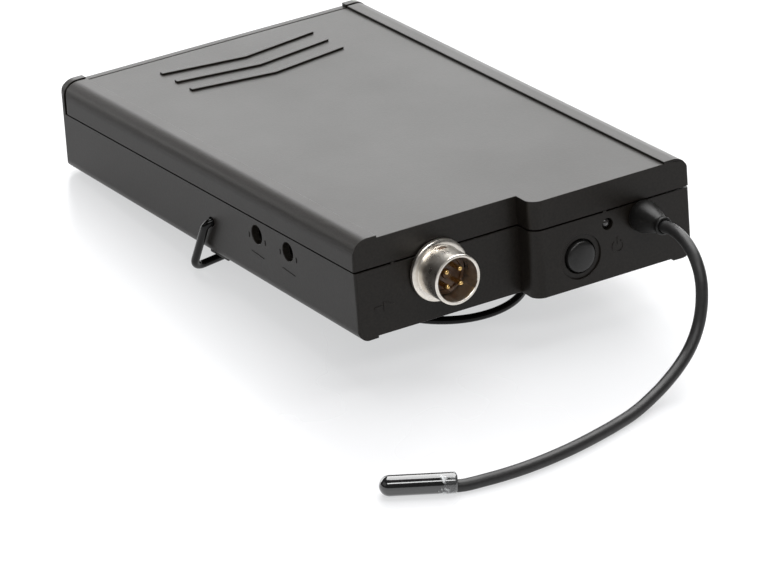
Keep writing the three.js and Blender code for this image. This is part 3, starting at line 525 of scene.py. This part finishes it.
# One part repeated at every point of the base mesh, turned and sized at random within limits.
repeat_tree, entry, leave = geometry_tree(
    "part at each place", {"Part": "Object", "Least size": "Float", "Most size": "Float",
                           "Turns": "Int", "Seed": "Int", "Material": "Material"})
part_info = repeat_tree.nodes.new("GeometryNodeObjectInfo")
wire(repeat_tree, (entry, "Part"), (part_info, "Object"))
spread = repeat_tree.nodes.new("GeometryNodeInstanceOnPoints")
size_pick = add_node(repeat_tree, "FunctionNodeRandomValue", data_type="FLOAT")
turn_pick = add_node(repeat_tree, "FunctionNodeRandomValue", data_type="INT")
quarter = add_node(repeat_tree, "ShaderNodeMath", operation="MULTIPLY")
quarter.inputs[1].default_value = math.pi / 2
combine = repeat_tree.nodes.new("ShaderNodeCombineXYZ")
tilt_back = add_node(repeat_tree, "FunctionNodeRotateRotation", rotation_space="GLOBAL")
tilt_back.inputs["Rotate By"].default_value = (-CASE_TIP, 0, 0)
wire(repeat_tree, (entry, "Geometry"), (spread, "Points"))
wire(repeat_tree, (part_info, "Geometry"), (spread, "Instance"))
size_inputs = [s for s in size_pick.inputs if s.enabled]
turn_inputs = [s for s in turn_pick.inputs if s.enabled]
repeat_tree.links.new(entry.outputs["Least size"], size_inputs[0])
repeat_tree.links.new(entry.outputs["Most size"], size_inputs[1])
repeat_tree.links.new(entry.outputs["Seed"], size_inputs[3])
turn_inputs[0].default_value = 0
repeat_tree.links.new(entry.outputs["Turns"], turn_inputs[1])
repeat_tree.links.new(entry.outputs["Seed"], turn_inputs[3])
repeat_tree.links.new([s for s in size_pick.outputs if s.enabled][0], spread.inputs["Scale"])
repeat_tree.links.new([s for s in turn_pick.outputs if s.enabled][0], quarter.inputs[0])
wire(repeat_tree, (quarter, 0), (combine, "Z"))
wire(repeat_tree, (combine, 0), (tilt_back, "Rotation"))
wire(repeat_tree, (tilt_back, 0), (spread, "Rotation"))
close_tree(repeat_tree, entry, leave, (spread, "Instances"))


def repeated(name, part_mesh, spots, material, body="case", sizes=(1, 1), turns=0, seed=1):
    """The part mesh at each spot in case mm; the pattern object is dropped afterwards."""
    pattern = bpy.data.objects.new(name + "_pattern", part_mesh)
    bpy.context.scene.collection.objects.link(pattern)
    piece = grown_piece(name, place_mesh(name, spots), repeat_tree,
                        {"Part": pattern, "Least size": float(sizes[0]),
                         "Most size": float(sizes[1]), "Turns": turns, "Seed": seed,
                         "Material": material}, body)
    bpy.data.objects.remove(pattern)
    return piece


gilt, gilt_shader = new_material("gold flash", Metallic=1.0)
grained(gilt, gilt_shader, 0.0003, 0.002, 0.000004, (0.16, 0.28),
        ((0.72, 0.47, 0.17), (0.86, 0.62, 0.28)), strength=0.4)
PIN_CIRCLE = 1.9
pin_profile = ([(0, -5.8)] + [(0.45 * math.sin(t), -5.35 - 0.45 * math.cos(t))
                              for t in (0.3, 0.6, 0.9, 1.2, 1.5)]
               + [(0.45, -5.2), (0.45, 8.2), (0.38, 8.4), (0, 8.5)])
pin_mesh = turned_mesh("socket_pin", pin_profile, 20, Matrix.Scale(MM, 4))
pin_spots = [(SOCKET[0] + PIN_CIRCLE * math.cos(a), 0, SOCKET[1] + PIN_CIRCLE * math.sin(a))
             for a in (math.pi / 4 + i * math.pi / 2 for i in range(4))]
pins = repeated("socket_pins", pin_mesh, pin_spots, gilt)
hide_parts("connector_pin_1", "connector_pin_2", "connector_pin_3", "connector_pin_4")

# ---- Power button -------------------------------------------------------------------------------
# A satin black cap with a low crown, loose in its ring, pressed straight in against the switch
# on the board.
button_plastic, button_shader = new_material("satin button moulding", IOR=1.5,
                                             Specular_IOR_Level=0.4)
grained(button_plastic, button_shader, 0.0003, 0.004, 0.00001, (0.32, 0.4),
        ((0.0075, 0.0072, 0.0068), (0.012, 0.0115, 0.011)))
POWER_BUTTON = (9.9, 5.95)
button_profile = [
    (0, -2.2), (3.85, -2.2), (3.85, -3.0), (2.85, -3.0), (2.85, -4.72), (2.81, -4.9),
    (2.7, -5.04), (2.5, -5.14), (2.1, -5.22), (1.5, -5.3), (0.8, -5.35), (0, -5.37)]
button = link_piece("power_button_cap", turned_mesh("power_button_cap", button_profile, 72,
                                                    on_axis(*POWER_BUTTON)), "button",
                    button_plastic)
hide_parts("power_button")

# ---- Status light -------------------------------------------------------------------------------
# A small smoked lens set back in its own hole in the near face, over a light on the board.
lens_smoke, lens_shader = new_material("smoked lens", IOR=1.5, Coat_Weight=1.0,
                                       Coat_Roughness=0.02)
grained(lens_smoke, lens_shader, 0.0008, 0.002, 0.000002, (0.03, 0.08),
        ((0.020, 0.018, 0.018), (0.045, 0.040, 0.040)), strength=0.2)
STATUS_LIGHT = (15.7, 10.5)
lens_profile = ([(0.93 * math.sin(t), -3.75 - 0.78 * math.cos(t))
                 for t in (0, 0.25, 0.5, 0.75, 1.0, 1.25, 1.5)]
                + [(0.95, -3.6), (0.95, -3.0), (1.3, -3.0), (1.3, -1.8), (0, -1.8)])
lens = link_piece("status_light_lens", turned_mesh("status_light_lens", lens_profile, 40,
                                                   on_axis(*STATUS_LIGHT)), "case", lens_smoke)

# ---- Wire belt clip -----------------------------------------------------------------------------
# One length of spring wire, coated glossy black: two pins in the case sides, legs down to the
# elbows, and a flat loop that lies under the back. It swings on its pins.
clip_wire, clip_shader = new_material("black coated wire", IOR=1.5, Specular_IOR_Level=0.26)
grained(clip_wire, clip_shader, 0.0009, 0.004, 0.000005, (0.05, 0.09),
        ((0.0018, 0.0017, 0.0016), (0.0036, 0.0034, 0.0032)), strength=0.4)

# A tube of even thickness along the edges of the base mesh.
tube_tree, entry, leave = geometry_tree(
    "wire along a path", {"Radius": "Float", "Sides": "Int", "Material": "Material"})
to_curve = tube_tree.nodes.new("GeometryNodeMeshToCurve")
ring = add_node(tube_tree, "GeometryNodeCurvePrimitiveCircle", mode="RADIUS")
to_mesh = tube_tree.nodes.new("GeometryNodeCurveToMesh")
to_mesh.inputs["Fill Caps"].default_value = True
wire(tube_tree, (entry, "Geometry"), (to_curve, "Mesh"))
wire(tube_tree, (entry, "Radius"), (ring, "Radius"))
wire(tube_tree, (entry, "Sides"), (ring, "Resolution"))
wire(tube_tree, (to_curve, "Curve"), (to_mesh, "Curve"))
wire(tube_tree, (ring, "Curve"), (to_mesh, "Profile Curve"))
close_tree(tube_tree, entry, leave, (to_mesh, "Mesh"))


def wire_piece(name, paths, radius, sides, material, body, in_case=True):
    """Round wire along each path, given in case mm (or in part mm)."""
    spots = [spot for path in paths for spot in path]
    edges, base = [], 0
    for path in paths:
        edges += [(base + i, base + i + 1) for i in range(len(path) - 1)]
        base += len(path)
    mesh = place_mesh(name, spots, edges)
    if not in_case:
        for vert, spot in zip(mesh.vertices, spots):
            vert.co = Vector(spot) * MM
    return grown_piece(name, mesh, tube_tree,
                       {"Radius": radius * MM, "Sides": sides, "Material": material}, body, 50)


def rounded_path(corners, radii, steps):
    """Straight runs joined by arcs of their own radius, as points."""
    points = [Vector(corners[0])]
    for before, corner, after, radius in zip(corners, corners[1:], corners[2:], radii):
        corner = Vector(corner)
        back = (Vector(before) - corner).normalized()
        onward = (Vector(after) - corner).normalized()
        half = back.angle(onward) / 2
        centre = corner + (back + onward).normalized() * (radius / math.sin(half))
        start = corner + back * (radius / math.tan(half)) - centre
        end = corner + onward * (radius / math.tan(half)) - centre
        sweep = start.angle(end)
        points += [centre + (start * math.sin(sweep * (1 - k / steps))
                             + end * math.sin(sweep * k / steps)) / math.sin(sweep)
                   for k in range(steps + 1)]
    return points + [Vector(corners[-1])]


WIRE_RADIUS, CLIP_DROP, CLIP_SETBACK, CLIP_LEAN = 0.75, 11, 5, 3.5
LEG_X, LOOP_RADIUS, LOOP_REACH = 34.05, 14.5, 39
clip_right = rounded_path(
    [(28.9, 0, 0), (LEG_X, 0, 0), (LEG_X, CLIP_SETBACK, -CLIP_DROP),
     (LOOP_RADIUS, CLIP_SETBACK + CLIP_LEAN, -CLIP_DROP),
     (LOOP_RADIUS, -CLIP_SETBACK, -CLIP_DROP)], (1.5, 2.6, 4), 12)
loop_centre = LOOP_RADIUS - LOOP_REACH
clip_round = [Vector((LOOP_RADIUS * math.cos(t), loop_centre - LOOP_RADIUS * math.sin(t),
                      -CLIP_DROP)) for t in (math.pi * i / 40 for i in range(41))]
clip_path = clip_right + clip_round + [Vector((-p.x, p.y, p.z)) for p in reversed(clip_right)]
clip_pivot = Vector((0, 3.104748, 11.75))
clip = wire_piece("belt_clip_wire", [[p + clip_pivot for p in clip_path]], WIRE_RADIUS, 24,
                  clip_wire, "clip", in_case=False)
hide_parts("wire_clip")

# ---- Circuit board ------------------------------------------------------------------------------
# Green laminate screwed to three bosses in the shell, with a tinned shield, tuning coils, cans and
# small parts soldered to it.
def repaint(node, material):
    """A CAD node that keeps its own shape and takes a finish."""
    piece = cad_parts[node]
    piece.data.materials.clear()
    piece.data.materials.append(material)


def make_trace_lines():
    """Copper runs under the solder mask: stepped lines along two directions, as a mask."""
    tree, entry, leave = effect("copper runs", {"Pitch": 0.0011, "Width": 0.18}, ("Mask",))
    place = tree.nodes.new("ShaderNodeTexCoord")
    parts = tree.nodes.new("ShaderNodeSeparateXYZ")
    wire(tree, (place, "Object"), (parts, 0))
    patch = add_node(tree, "ShaderNodeTexVoronoi", distance="CHEBYCHEV", Scale=140.0)
    wire(tree, (place, "Object"), (patch, "Vector"))
    lines = []
    for axis in ("X", "Y"):
        step = add_node(tree, "ShaderNodeMath", operation="DIVIDE")
        wire(tree, (parts, axis), (step, 0))
        wire(tree, (entry, "Pitch"), (step, 1))
        saw = add_node(tree, "ShaderNodeMath", operation="FRACT")
        wire(tree, (step, 0), (saw, 0))
        thin = add_node(tree, "ShaderNodeMath", operation="LESS_THAN")
        wire(tree, (saw, 0), (thin, 0))
        wire(tree, (entry, "Width"), (thin, 1))
        lines.append(thin)
    which = tree.nodes.new("ShaderNodeSeparateColor")
    wire(tree, (patch, "Color"), (which, 0))
    pick = add_node(tree, "ShaderNodeMath", operation="GREATER_THAN")
    wire(tree, (which, 0), (pick, 0))
    pick.inputs[1].default_value = 0.5
    blend = tree.nodes.new("ShaderNodeMix")
    wire(tree, (pick, 0), (blend, "Factor"))
    wire(tree, (lines[0], 0), (blend, 2))
    wire(tree, (lines[1], 0), (blend, 3))
    wire(tree, (blend, 0), (leave, "Mask"))
    return tree


laminate, laminate_shader = new_material("green solder mask", IOR=1.5, Coat_Weight=0.3)
grained(laminate, laminate_shader, 0.0006, 0.01, 0.00001, (0.28, 0.4))
runs = add_node(laminate.node_tree, "ShaderNodeGroup", node_tree=make_trace_lines())
run_mix = add_node(laminate.node_tree, "ShaderNodeMix", data_type="RGBA")
run_mix.inputs[6].default_value = (0.006, 0.062, 0.022, 1)
run_mix.inputs[7].default_value = (0.012, 0.125, 0.045, 1)
wire(laminate.node_tree, (runs, "Mask"), (run_mix, 0))
wire(laminate.node_tree, (run_mix, 2), (laminate_shader, "Base Color"))

tin, tin_shader = new_material("tinned sheet", Metallic=1.0)
grained(tin, tin_shader, 0.0009, 0.006, 0.00001, (0.22, 0.4),
        ((0.52, 0.53, 0.54), (0.66, 0.67, 0.68)))
epoxy, epoxy_shader = new_material("chip epoxy", IOR=1.5)
grained(epoxy, epoxy_shader, 0.0002, 0.004, 0.00001, (0.45, 0.6),
        ((0.010, 0.010, 0.010), (0.020, 0.020, 0.020)))
steel, steel_shader = new_material("plated spring steel", Metallic=1.0)
grained(steel, steel_shader, 0.0004, 0.004, 0.000006, (0.2, 0.34),
        ((0.50, 0.50, 0.50), (0.64, 0.64, 0.63)))
cream, cream_shader = new_material("off-white moulding", IOR=1.5, Subsurface_Weight=0.05)
grained(cream, cream_shader, 0.0003, 0.004, 0.00001, (0.35, 0.5),
        ((0.60, 0.58, 0.50), (0.72, 0.70, 0.62)))
brass, brass_shader = new_material("turned brass", Metallic=1.0)
grained(brass, brass_shader, 0.0003, 0.003, 0.000006, (0.2, 0.36),
        ((0.56, 0.40, 0.15), (0.72, 0.54, 0.24)))
inner_plastic, inner_shader = new_material("plain black moulding", IOR=1.5)
grained(inner_plastic, inner_shader, 0.0005, 0.01, 0.00001, (0.4, 0.55),
        ((0.014, 0.014, 0.014), (0.022, 0.022, 0.022)))
sleeve, sleeve_shader = new_material("shrunk blue sleeve", IOR=1.5, Coat_Weight=0.4)
grained(sleeve, sleeve_shader, 0.0008, 0.004, 0.00002, (0.2, 0.35),
        ((0.012, 0.020, 0.055), (0.020, 0.032, 0.080)))
for node, finish in (
        ("main_board", laminate), ("shield_can", tin), ("audio_chip", epoxy), ("crystal", tin),
        ("tuning_coil_1", tin), ("tuning_coil_2", tin), ("capacitor_1", sleeve),
        ("capacitor_2", sleeve), ("capacitor_3", sleeve), ("board_screw_1", steel),
        ("board_screw_2", steel), ("board_screw_3", steel), ("gain_trimmer", cream),
        ("level_trimmer", cream), ("gain_rotor", cream), ("level_rotor", cream),
        ("antenna_base", brass), ("connector_nut", nickel), ("tact_switch", inner_plastic),
        ("tact_plunger", inner_plastic), ("status_led", lens_smoke)):
    repaint(node, finish)

BOARD_TOP = 3.8
taken = [(7, 25, 11, 31), (-9, -1, 11, 23), (0, 5.6, 4, 29.5), (-15, -9, 23, 35.5),
         (-20.5, -9, 23, 29), (-32, -24, 19, 36), (-30, -24, 2, 8), (24, 30, 2, 8),
         (-3, 3, 28, 36), (-24, -9, -1, 6.5), (3.5, 17.5, -5, 4), (-22, -17, 32, 36),
         (17, 22, 32, 36), (20, 26, -5, 3)]
parts_random = random.Random(12)
spots = []
for _ in range(3000):
    x, y = round(parts_random.uniform(-29, 29), 1), round(parts_random.uniform(4, 34), 1)
    clear = all(not (x0 - 0.6 < x < x1 + 0.6 and y0 - 0.6 < y < y1 + 0.6)
                for x0, x1, y0, y1 in taken)
    if clear and all(math.dist((x, y), spot[:2]) > 1.9 for spot in spots):
        spots.append((x, y, BOARD_TOP))
SMALL_PARTS, MOST_BEADS = 45, 60
small_spots, joint_spots = spots[:SMALL_PARTS], spots[SMALL_PARTS:SMALL_PARTS + MOST_BEADS]


def chip_mesh(name, long, wide, high):
    """A small moulded part with broken edges, standing on the board."""
    form = bmesh.new()
    bmesh.ops.create_cube(form, size=1)
    bmesh.ops.scale(form, vec=(long, wide, high), verts=form.verts)
    bmesh.ops.translate(form, vec=(0, 0, high / 2), verts=form.verts)
    bmesh.ops.bevel(form, geom=form.edges[:], offset=0.08, segments=2, affect="EDGES")
    bmesh.ops.scale(form, vec=(MM, MM, MM), verts=form.verts)
    mesh = bpy.data.meshes.new(name)
    form.to_mesh(mesh)
    form.free()
    return mesh


small_parts = repeated("board_small_parts", chip_mesh("small_part", 1.5, 0.8, 0.55), small_spots,
                       epoxy, sizes=(0.8, 1.5), turns=3, seed=4)
bead_profile = [(0.62, -0.02), (0.56, 0.08), (0.4, 0.22), (0.22, 0.4), (0.1, 0.5), (0, 0.53)]
bead_mesh = turned_mesh("solder_bead", bead_profile, 12,
                        Matrix.Scale(MM, 4) @ Matrix.Rotation(math.pi / 2, 4, "X"))
beads = repeated("solder_beads", bead_mesh, joint_spots, tin, sizes=(0.7, 1.1), seed=9)

# ---- Cells and contacts -------------------------------------------------------------------------
# Two round cells lie side by side in a frame, held between sprung steel contacts. Their film
# jackets are dark with a copper coloured band at the raised end.
repaint("battery_cradle", inner_plastic)
for contact in ("contact_plus", "contact_minus", "contact_link"):
    repaint(contact, steel)
jacket, jacket_shader = new_material("printed cell jacket", IOR=1.5, Coat_Weight=0.5)
grained(jacket, jacket_shader, 0.001, 0.006, 0.000006, (0.2, 0.32))
cell_low, cell_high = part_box("battery_1")
band_tree = jacket.node_tree
spot = band_tree.nodes.new("ShaderNodeTexCoord")
cut = band_tree.nodes.new("ShaderNodeSeparateXYZ")
band = band_tree.nodes.new("ShaderNodeValToRGB")
span = band_tree.nodes.new("ShaderNodeMapRange")
span.inputs["From Min"].default_value = cell_low.y
span.inputs["From Max"].default_value = cell_high.y
band.color_ramp.interpolation = "CONSTANT"
BARE_END, COPPER_BAND = (0.5, 0.5, 0.5, 1), (0.45, 0.2, 0.06, 1)
DARK_JACKET = (0.012, 0.012, 0.014, 1)
first_stop, second_stop = band.color_ramp.elements
first_stop.color, first_stop.position = BARE_END, 0
second_stop.color, second_stop.position = COPPER_BAND, 0.035
for place, tone in ((0.3, DARK_JACKET), (0.972, BARE_END)):
    stop = band.color_ramp.elements.new(place)
    stop.color = tone
wire(band_tree, (spot, "Object"), (cut, 0))
wire(band_tree, (cut, "Y"), (span, "Value"))
wire(band_tree, (span, 0), (band, 0))
wire(band_tree, (band, 0), (jacket_shader, "Base Color"))
repaint("battery_1", jacket)
repaint("battery_2", jacket)

CELL_Z, CELL_PITCH = 9.95, 15.4
springs = []
for x, start, end in ((CELL_PITCH / 2, 37.65, 39.15), (-CELL_PITCH / 2, 92.05, 90.55)):
    springs.append([(x + (3.6 - 1.4 * t) * math.cos(6 * math.pi * t), start + (end - start) * t,
                     CELL_Z + (3.6 - 1.4 * t) * math.sin(6 * math.pi * t))
                    for t in (i / 120 for i in range(121))])
spring = wire_piece("battery_springs", springs, 0.25, 12, steel, "case")
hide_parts("battery_spring_1", "battery_spring_2")
for node, tones in (("battery_lead_plus", ((0.30, 0.012, 0.008), (0.42, 0.02, 0.012))),
                    ("battery_lead_minus", ((0.008, 0.008, 0.008), (0.014, 0.014, 0.014)))):
    sheath, sheath_shader = new_material(node + " insulation", IOR=1.5)
    grained(sheath, sheath_shader, 0.0006, 0.004, 0.00001, (0.3, 0.42), tones)
    repaint(node, sheath)

# ---- Table and studio light ---------------------------------------------------------------------
# A white acrylic table that glows a little itself, under one wide soft light. A lit strip stands
# low behind the object, where the flat cover mirrors it, with a weak fill and a strip in front.
table_top, table_shader = new_material(
    "white table", Base_Color=(0.26, 0.26, 0.265, 1), Emission_Color=(0.985, 0.992, 1, 1),
    Emission_Strength=0.60)
grained(table_top, table_shader, 0.004, 0.15, 0.00001, (0.22, 0.3), strength=0.1)
verts = [Vector((x, y, 0)) for x, y in ((-4, -4), (4, -4), (4, 4), (-4, 4))]
table_mesh = finished_mesh("table", verts, [(0, 1, 2, 3)], Matrix.Identity(4))
table_mesh.materials.append(table_top)
table = bpy.data.objects.new("table", table_mesh)
bpy.context.scene.collection.objects.link(table)


def soft_light(name, width, height, power, location, aim):
    """A rectangular soft light that faces a point."""
    light = bpy.data.objects.new(name, bpy.data.lights.new(name, "AREA"))
    light.data.shape = "RECTANGLE"
    light.data.size, light.data.size_y, light.data.energy = width, height, power
    light.location = location
    light.rotation_euler = (Vector(aim) - Vector(location)).to_track_quat("-Z", "Y").to_euler()
    bpy.context.scene.collection.objects.link(light)
    return light


soft_light("overhead", 1.2, 1.2, 24, (0.38, 0.30, 1.0), (0, 0, 0))
soft_light("backdrop", 2.5, 0.42, 12.6, (0.36, 0.99, 0.27), (0, 0, 0.1))
soft_light("fill", 0.8, 0.5, 0.4, (-0.9, 0.1, 0.5), (0, 0, 0))
soft_light("front_strip", 1.0, 0.16, 4.2, (-0.26, -0.62, 0.74), (0, -0.04, 0))
world = bpy.data.worlds.new("studio")
world.use_nodes = True
world.node_tree.nodes["Background"].inputs["Color"].default_value = (0.07, 0.07, 0.07, 1)
bpy.context.scene.world = world
